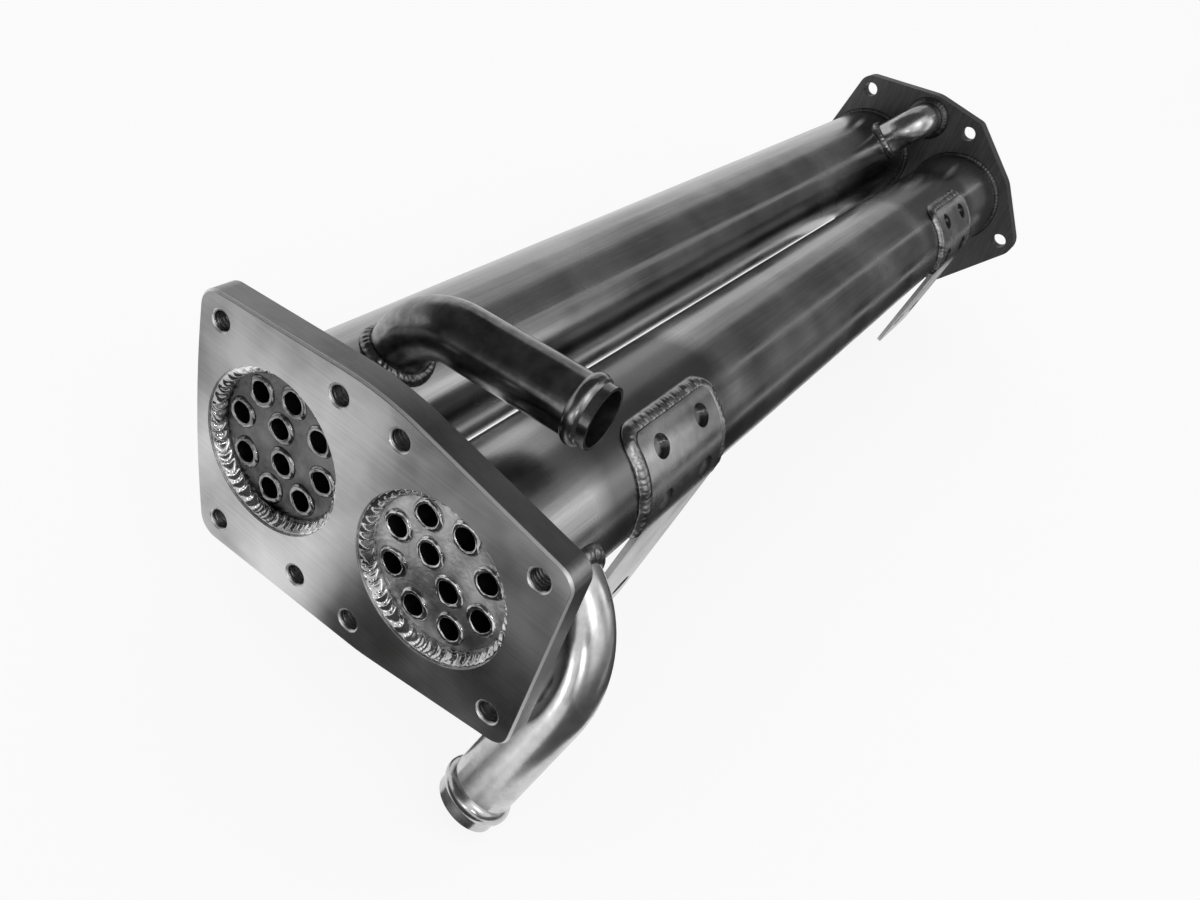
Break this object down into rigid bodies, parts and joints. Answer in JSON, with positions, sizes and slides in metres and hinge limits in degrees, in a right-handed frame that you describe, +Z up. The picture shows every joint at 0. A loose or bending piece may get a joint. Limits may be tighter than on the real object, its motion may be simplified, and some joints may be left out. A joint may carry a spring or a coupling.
{
  "type": "egr cooler",
  "caption": "Exhaust gas recirculation cooler: parallel round shells with gas tube bundles between thick flanges, bent coolant pipes and saddle brackets.",
  "frame": {"origin": "midway between the two shell axes, on the outer face of the front flange", "axes": "+X along the shells towards the rear flange, +Y towards the left shell, +Z up"},
  "size_m": [0.7332, 0.2144, 0.1916],
  "materials": {
    "flange": "brushed, machined face",
    "shell": "polished lengthwise",
    "tube_sheet": "turned",
    "gas_tube": "drawn",
    "baffle": "cut from sheet",
    "pipe": "polished",
    "bracket": "brushed sheet",
    "weld": "rippled weld bead"
  },
  "bodies": {
    "root": {"front_flange": "flange", "rear_flange": "flange", "left_shell": "shell", "right_shell": "shell", "front_left_tube_sheet": "tube_sheet", "front_right_tube_sheet": "tube_sheet", "rear_left_tube_sheet": "tube_sheet", "rear_right_tube_sheet": "tube_sheet", "left_gas_tube_01": "gas_tube", "left_gas_tube_02": "gas_tube", "left_gas_tube_03": "gas_tube", "left_gas_tube_04": "gas_tube", "left_gas_tube_05": "gas_tube", "left_gas_tube_06": "gas_tube", "left_gas_tube_07": "gas_tube", "left_gas_tube_08": "gas_tube", "left_gas_tube_09": "gas_tube", "left_gas_tube_10": "gas_tube", "right_gas_tube_01": "gas_tube", "right_gas_tube_02": "gas_tube", "right_gas_tube_03": "gas_tube", "right_gas_tube_04": "gas_tube", "right_gas_tube_05": "gas_tube", "right_gas_tube_06": "gas_tube", "right_gas_tube_07": "gas_tube", "right_gas_tube_08": "gas_tube", "right_gas_tube_09": "gas_tube", "right_gas_tube_10": "gas_tube", "left_baffles": "baffle", "right_baffles": "baffle", "upper_coolant_pipe": "pipe", "lower_coolant_pipe": "pipe", "left_rear_elbow": "pipe", "right_rear_elbow": "pipe", "front_bracket": "bracket", "rear_bracket": "bracket", "front_left_bore_weld": "weld", "front_left_shell_weld": "weld", "front_left_tube_welds": "weld", "front_right_bore_weld": "weld", "front_right_shell_weld": "weld", "front_right_tube_welds": "weld", "front_bracket_weld": "weld", "rear_left_bore_weld": "weld", "rear_left_shell_weld": "weld", "rear_left_tube_welds": "weld", "rear_right_bore_weld": "weld", "rear_right_shell_weld": "weld", "rear_right_tube_welds": "weld", "rear_bracket_weld": "weld", "left_elbow_foot_weld": "weld", "left_elbow_port_weld": "weld", "right_elbow_foot_weld": "weld", "right_elbow_port_weld": "weld", "upper_pipe_weld": "weld", "lower_pipe_weld": "weld"}
  },
  "joints": []
}
